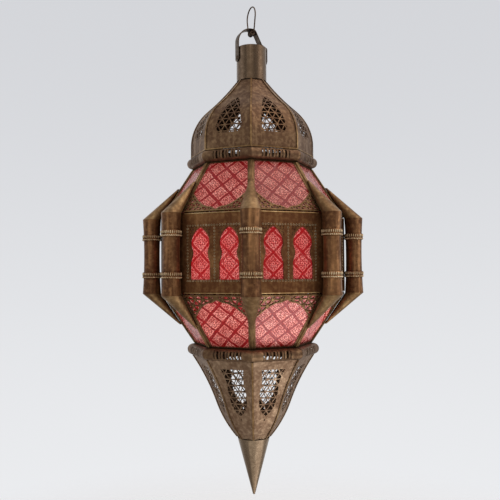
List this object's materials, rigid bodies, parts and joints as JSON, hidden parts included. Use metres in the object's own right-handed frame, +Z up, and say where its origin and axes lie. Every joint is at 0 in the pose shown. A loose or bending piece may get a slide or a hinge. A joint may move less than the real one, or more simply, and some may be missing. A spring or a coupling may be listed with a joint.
{
  "type": "hanging candle lantern",
  "caption": "Eight-sided hanging brass lantern with red glass, corner columns, pierced dome and bowl, a wire loop, a bail and a hinged door.",
  "frame": {"origin": "where a hook bears on the inside of the hanging loop, on the lantern's upright axis", "axes": "+Z up along the lantern's axis, -Y towards the corner that faces the viewer in the picture"},
  "size_m": [0.3302, 0.3302, 0.7317],
  "materials": {
    "aged_brass": "aged sheet brass, dull with rubbed edges",
    "dark_brass": "dark brown aged sheet brass",
    "red_glass": "red pressed glass with a raised pattern",
    "loop_wire": "dull grey wire"
  },
  "bodies": {
    "loop": {"hanging_loop": "loop_wire", "loop_knot": "loop_wire"},
    "bail": {"bail_strap": "aged_brass"},
    "lantern": {"bail_rivets": "aged_brass", "neck_tube": "dark_brass", "dome_side_1": "dark_brass", "dome_side_2": "dark_brass", "dome_side_3": "dark_brass", "dome_side_4": "dark_brass", "dome_side_5": "dark_brass", "dome_side_6": "dark_brass", "dome_side_7": "dark_brass", "dome_side_8": "dark_brass", "dome_seams": "dark_brass", "upper_band": "aged_brass", "upper_band_bead": "dark_brass", "upper_slope_frames": "aged_brass", "upper_slope_panes": "red_glass", "upper_corner_strips": "aged_brass", "upper_buttresses": "aged_brass", "box_side_1": "aged_brass", "box_side_2": "aged_brass", "box_side_3": "aged_brass", "box_side_4": "aged_brass", "box_side_5": "aged_brass", "box_side_6": "aged_brass", "box_side_7": "aged_brass", "box_panes": "red_glass", "upper_hoop": "dark_brass", "lower_hoop": "dark_brass", "door_frame": "aged_brass", "frame_hinge_leaves": "aged_brass", "hinge_pins": "aged_brass", "button_rivet": "aged_brass", "column_1": "aged_brass", "column_2": "aged_brass", "column_3": "aged_brass", "column_4": "aged_brass", "column_5": "aged_brass", "column_6": "aged_brass", "column_7": "aged_brass", "column_8": "aged_brass", "column_collars": "aged_brass", "candle_bar": "aged_brass", "candle_saucer": "aged_brass", "candle_socket": "aged_brass", "candle_rivet": "aged_brass", "lower_slope_frames": "aged_brass", "lower_slope_panes": "red_glass", "lower_corner_strips": "aged_brass", "lower_buttresses": "aged_brass", "lower_band": "aged_brass", "bowl_sides": "aged_brass", "bowl_seams": "aged_brass", "spike": "aged_brass"},
    "door": {"door_plate": "aged_brass", "door_pane": "red_glass", "door_hinge_leaves": "aged_brass", "door_knob": "aged_brass"},
    "button": {"turn_button": "aged_brass"}
  },
  "joints": [
    {"name": "loop_rock", "type": "hinge", "parent": "loop", "child": "bail", "pos_m": [0, 0, -0.03925], "axis": [-0.4226, 0.9063, 0], "range_deg": [-45, 45]},
    {"name": "bail_swing", "type": "hinge", "parent": "bail", "child": "lantern", "pos_m": [0, 0, -0.079], "axis": [0.9063, 0.4226, 0], "range_deg": [-25, 25]},
    {"name": "door_swing", "type": "hinge", "parent": "lantern", "child": "door", "pos_m": [0.08911, 0.10264, -0.376], "axis": [0, 0, -1], "range_deg": [0, 95]},
    {"name": "button_turn", "type": "hinge", "parent": "lantern", "child": "button", "pos_m": [0.00481, 0.13626, -0.359], "axis": [-0.3827, -0.9239, 0], "range_deg": [0, 90]}
  ]
}
